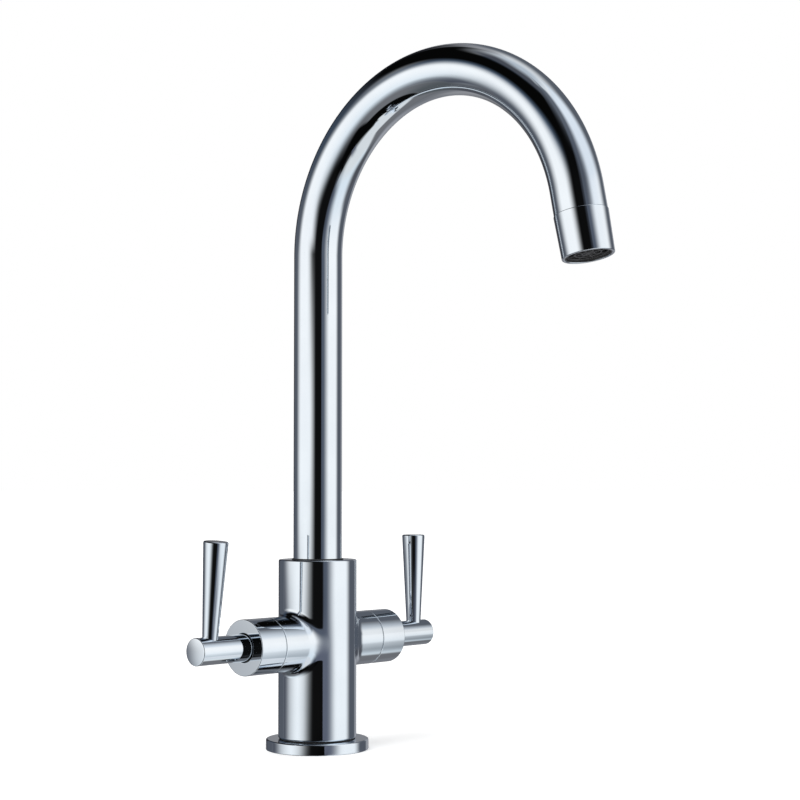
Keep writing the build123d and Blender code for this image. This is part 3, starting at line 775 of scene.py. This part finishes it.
# Far cards, the front one first: degrees right of the camera and up, with fades left, right, low and high
cards = {
    "skyCard": {
        "azimuth": (-21, 38), "elevation": (37, 90), "fade": (50, 15, 27, 16),
        "tone": (0.122, 0.135, 0.16),
    },
    "skyLeft": {
        "azimuth": (-175, 6), "elevation": (64, 90), "fade": (76, 23, 6, 15),
        "tone": (0.067, 0.072, 0.089),
    },
    "frontFlag": {
        "azimuth": (-43, 19), "elevation": (-42, 56), "fade": (34, 5, 11, 52),
        "tone": (0.005, 0.005, 0.005),
    },
    "upperFlag": {
        "azimuth": (-56, 15), "elevation": (3, 90), "fade": (34, 11, 8, 42),
        "tone": (0.002, 0.002, 0.002),
    },
    "midFlag": {
        "azimuth": (-62, 28), "elevation": (-53, 4), "fade": (55, 22, 3, 14),
        "tone": (0.002, 0.002, 0.002),
    },
    "lowFlag": {
        "azimuth": (-49, 48), "elevation": (-90, -39), "fade": (9, 44, 9, 8),
        "tone": (0.002, 0.002, 0.002),
    },
    "lowEdge": {
        "azimuth": (-142, -20), "elevation": (-83, -56), "fade": (10, 3, 3, 3),
        "tone": (0.002, 0.002, 0.002),
    },
    "upperFill": {
        "azimuth": (5, 65), "elevation": (26, 53), "fade": (8, 43, 3, 27),
        "tone": (0.08, 0.091, 0.113),
    },
    "fillCard": {
        "azimuth": (-18, 57), "elevation": (-52, 78), "fade": (8, 33, 24, 4),
        "tone": (0.089, 0.105, 0.139),
    },
    "ceilingFlag": {
        "azimuth": (-172, 27), "elevation": (25, 80), "fade": (18, 3, 15, 19),
        "tone": (0.002, 0.002, 0.002),
    },
    "hazeCard": {
        "azimuth": (-165, -70), "elevation": (11, 45), "fade": (12, 34, 19, 25),
        "tone": (0.027, 0.045, 0.074),
    },
    "hazeEdge": {
        "azimuth": (-106, -11), "elevation": (16, 74), "fade": (16, 10, 17, 4),
        "tone": (0.098, 0.136, 0.195),
    },
    "zenithCard": {
        "azimuth": (-180, 180), "elevation": (65, 90), "fade": (0, 0, 21, 0),
        "tone": (0.47, 0.517, 0.572),
    },
    "backFlag": {
        "azimuth": (181, 213), "elevation": (-21, 62), "fade": (4, 3, 38, 21),
        "tone": (0.017, 0.017, 0.021),
    },
    "backStrip": {
        "azimuth": (170, 203), "elevation": (-42, 85), "fade": (17, 4, 24, 18),
        "tone": (0.3, 0.3, 0.315),
    },
    "backTable": {
        "azimuth": (135, 196), "elevation": (-43, 23), "fade": (16, 54, 22, 5),
        "tone": (0.38, 0.386, 0.414),
    },
    "backLow": {
        "azimuth": (80, 281), "elevation": (-45, -10), "fade": (39, 60, 17, 8),
        "tone": (0.08, 0.083, 0.096),
    },
    "backPanel": {
        "azimuth": (89, 274), "elevation": (-33, 24), "fade": (24, 37, 22, 15),
        "tone": (0.093, 0.103, 0.125),
    },
    "backUpper": {
        "azimuth": (87, 273), "elevation": (8, 87), "fade": (37, 33, 3, 39),
        "tone": (0.103, 0.114, 0.136),
    },
    "leftLow": {
        "azimuth": (-162, -80), "elevation": (-58, -26), "fade": (10, 44, 3, 11),
        "tone": (0.089, 0.099, 0.106),
    },
    "lowCard": {
        "azimuth": (-242, 26), "elevation": (-64, -16), "fade": (12, 5, 5, 25),
        "tone": (0.167, 0.169, 0.18),
    },
    "sideCard": {
        "azimuth": (29, 117), "elevation": (20, 74), "fade": (10, 5, 13, 3),
        "tone": (0.791, 0.84, 0.9),
    },
    "tableLow": {
        "azimuth": (-180, 180), "elevation": (-90, -36), "fade": (0, 0, 0, 14),
        "tone": (0.74, 0.76, 0.77),
    },
    "tableTop": {
        "azimuth": (-180, 180), "elevation": (-90, 14), "fade": (0, 0, 0, 55),
        "tone": (0.75, 0.83, 0.89),
    },
}
nearCards = {  # cards close round the base, with each card's own radius: the pale one is the worktop as reflections see it, and the dark ones paint the worktop's shade round the foot
    "nearFront": {
        "azimuth": (18, 98), "elevation": (-33, -5), "fade": (3, 23, 5, 2),
        "tone": (0.72, 0.75, 0.79), "radius": 0.08,
    },
    # dark card: painted shade of the worktop round the foot, seen only in reflections
    "footFlag": {
        "azimuth": (-21, 26), "elevation": (-14, -5), "fade": (40, 8, 3, 3),
        "tone": (0.002, 0.002, 0.002), "radius": 0.4,
    },
    "footFill": {
        "azimuth": (15, 61), "elevation": (-11, 21), "fade": (0, 55, 5, 13),
        "tone": (0.122, 0.134, 0.179), "radius": 0.21,
    },
    "footLeft": {
        "azimuth": (-119, -57), "elevation": (-14, 14), "fade": (8, 65, 6, 13),
        "tone": (0.067, 0.074, 0.097), "radius": 0.6,
    },
}


def smooth(value):  # eases from 0 to 1
    value = min(1.0, max(0.0, value))
    return value * value * (3 - 2 * value)


def cardMaterial():
    material = bpy.data.materials.new("cardTone")
    material.use_nodes = True
    tree = material.node_tree
    tree.nodes.clear()
    tone = addNode(tree, "ShaderNodeAttribute", attribute_name="tone")
    glow = addNode(tree, "ShaderNodeEmission")
    clear = addNode(tree, "ShaderNodeBsdfTransparent")
    mix = addNode(tree, "ShaderNodeMixShader")
    leave = addNode(tree, "ShaderNodeOutputMaterial")
    wire(tree, tone, "Color", glow, "Color")
    wire(tree, tone, "Alpha", mix, "Fac")
    wire(tree, clear, "BSDF", mix, 1)
    wire(tree, glow, "Emission", mix, 2)
    wire(tree, mix, "Shader", leave, "Surface")
    return material


def cardShare(card, azimuth, elevation):  # 0 outside the card, 1 past its soft edges
    left, right = card["azimuth"]
    low, high = card["elevation"]
    azimuth = left + (azimuth - left) % 360.0
    if azimuth > right or not low <= elevation <= high:
        return 0.0
    gaps = (azimuth - left, right - azimuth, elevation - low, high - elevation)
    share = 1.0
    for gap, fade in zip(gaps, card["fade"]):
        if fade:
            share *= smooth(gap / fade)
    return share


def hideFromCamera(piece):  # only reflections see it
    piece.visible_camera = False
    piece.visible_diffuse = False
    piece.visible_transmission = False
    piece.visible_shadow = False


def makeDome(material):  # all the far cards, laid over white
    bm = bmesh.new()
    bmesh.ops.create_uvsphere(bm, u_segments=dome["columns"], v_segments=dome["rows"], radius=dome["radius"])
    layer = bm.verts.layers.float_color.new("tone")
    for vert in bm.verts:
        out = vert.co.normalized()
        elevation = math.degrees(math.asin(max(-1.0, min(1.0, out.z))))
        azimuth = dome["viewTurn"] + math.degrees(math.atan2(out.x, -out.y))
        tone = Vector(dome["white"])
        for card in reversed(cards.values()):
            share = cardShare(card, azimuth, elevation)
            if share:
                tone = tone.lerp(Vector(card["tone"]), share)
        vert[layer] = (*tone, 1.0)
    piece = makeObject("studioDome", bm)
    piece.data.materials.append(material)
    hideFromCamera(piece)


def makeNearCard(name, card, material):  # a curved grid round the tap's foot, clear at its edges
    left, right = card["azimuth"]
    low, high = card["elevation"]
    columns = round((right - left) / dome["nearStep"])
    rows = round((high - low) / dome["nearStep"])
    bm = bmesh.new()
    layer = bm.verts.layers.float_color.new("tone")
    bmesh.ops.create_grid(bm, x_segments=columns, y_segments=rows, size=0.5)
    for vert in bm.verts:
        azimuth = left + (right - left) * (vert.co.x + 0.5)
        elevation = low + (high - low) * (vert.co.y + 0.5)
        vert[layer] = (*card["tone"], cardShare(card, azimuth, elevation))
        turn = math.radians(azimuth - dome["viewTurn"])
        rise = math.radians(elevation)
        out = Vector((math.sin(turn) * math.cos(rise), -math.cos(turn) * math.cos(rise), math.sin(rise)))
        vert.co = out * card["radius"]
    piece = makeObject(name, bm)
    piece.data.materials.append(material)
    hideFromCamera(piece)


def seenBy(tree):  # 1 for camera, glossy and transmission rays
    path = addNode(tree, "ShaderNodeLightPath")
    first = addNode(tree, "ShaderNodeMath", operation="MAXIMUM")
    second = addNode(tree, "ShaderNodeMath", operation="MAXIMUM")
    wire(tree, path, "Is Camera Ray", first, 0)
    wire(tree, path, "Is Glossy Ray", first, 1)
    wire(tree, first, 0, second, 0)
    wire(tree, path, "Is Transmission Ray", second, 1)
    return second


def makeWorld():
    world = bpy.data.worlds.new("studio")
    scene.world = world
    world.use_nodes = True
    tree = world.node_tree
    background = tree.nodes["Background"]
    background.inputs["Color"].default_value = (1.0, 1.0, 1.0, 1.0)
    level = addNode(tree, "ShaderNodeMath", operation="MULTIPLY_ADD")
    level.inputs[1].default_value = 1.0 - light["fill"]
    level.inputs[2].default_value = light["fill"]
    wire(tree, seenBy(tree), 0, level, 0)
    wire(tree, level, 0, background, "Strength")


def makeFloor():
    bm = bmesh.new()
    bmesh.ops.create_circle(bm, cap_ends=True, segments=floorSet["sides"], radius=floorSet["radius"])
    floor = makeObject("floor", bm)
    material = bpy.data.materials.new("paleFloor")
    material.use_nodes = True
    tree = material.node_tree
    shader = tree.nodes["Principled BSDF"]
    shader.inputs["Base Color"].default_value = (*floorSet["colour"], 1.0)
    shader.inputs["Roughness"].default_value = floorSet["rough"]
    shader.inputs["Specular IOR Level"].default_value = 0.0
    shader.inputs["Emission Color"].default_value = (1.0, 1.0, 1.0, 1.0)
    glow = addNode(tree, "ShaderNodeMath", operation="MULTIPLY")
    glow.inputs[1].default_value = floorSet["glow"]
    wire(tree, seenBy(tree), 0, glow, 0)
    wire(tree, glow, 0, shader, "Emission Strength")
    floor.data.materials.append(material)
    floor.visible_glossy = False  # polished pieces see the dome there


def makeSun():
    sun = bpy.data.lights.new("softSun", "SUN")
    sun.energy = light["sun"]
    sun.angle = math.radians(light["sunAngle"])
    lamp = bpy.data.objects.new("softSun", sun)
    lamp.rotation_euler = [math.radians(turn) for turn in light["sunTurn"]]
    lamp.visible_glossy = False
    scene.collection.objects.link(lamp)


def makeCamera():
    lens = bpy.data.cameras.new("photoView")
    lens.lens = cameraSet["lens"]
    lens.sensor_width = cameraSet["sensor"]
    lens.clip_start, lens.clip_end = cameraSet["clip"]
    camera = bpy.data.objects.new("photoView", lens)
    camera.location = cameraSet["place"]
    pitch = math.radians(90.0 + cameraSet["tilt"])
    camera.rotation_euler = (pitch, 0.0, math.radians(-cameraSet["heading"]))
    scene.collection.objects.link(camera)
    scene.camera = camera


makeWorld()
makeFloor()
makeSun()
toneMaterial = cardMaterial()
makeDome(toneMaterial)
for name, card in nearCards.items():
    makeNearCard(name, card, toneMaterial)
makeCamera()
scene.view_settings.view_transform = "Standard"
print("studio made")
